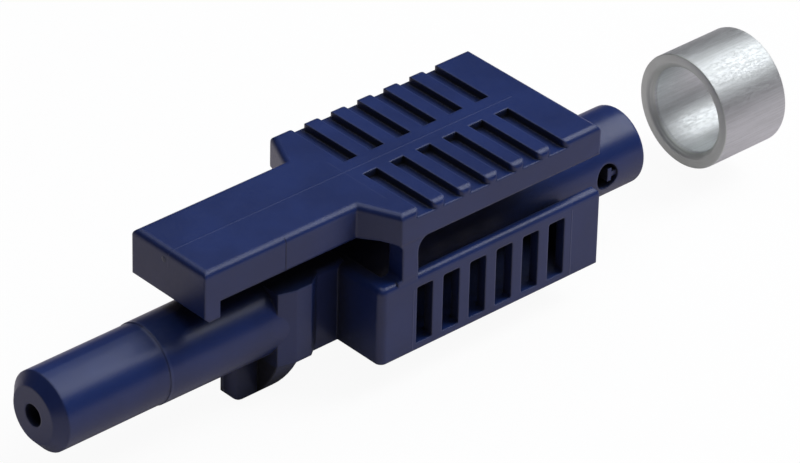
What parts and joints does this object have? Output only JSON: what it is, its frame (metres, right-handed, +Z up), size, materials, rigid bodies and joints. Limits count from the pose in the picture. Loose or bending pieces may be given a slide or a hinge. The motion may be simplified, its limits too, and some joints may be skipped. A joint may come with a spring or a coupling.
{
  "type": "plastic optical fibre connector",
  "caption": "Latching connector for a plastic optical fibre: round ferrule, rocking latch lever with grooved grip, windowed housing, cable tube and a loose crimp ring.",
  "frame": {"origin": "centre of the ferrule tip's flat face, at the mouth of the fibre bore", "axes": "+X along the ferrule's axis from the tip to the cable end, +Z up towards the latch lever, +Y to the far side in the picture"},
  "size_m": [0.0447, 0.0092, 0.0095],
  "materials": {
    "moulded_plastic": "satin, fine mould texture",
    "ring_metal": "bright satin"
  },
  "bodies": {
    "connector": {"connector_body": "moulded_plastic"},
    "lever": {"latch_lever": "moulded_plastic"},
    "ring": {"crimp_ring": "ring_metal"}
  },
  "joints": [
    {"name": "latch_rock", "type": "hinge", "parent": "connector", "child": "lever", "pos_m": [0.01846, 0, 0.00284], "axis": [0, 1, 0], "range_deg": [0, 6], "stiffness_Nm_per_rad": 0.3},
    {"name": "ring_slide", "type": "slide", "parent": "connector", "child": "ring", "axis": [-1, 0, 0], "range_m": [0, 0.00985]}
  ]
}
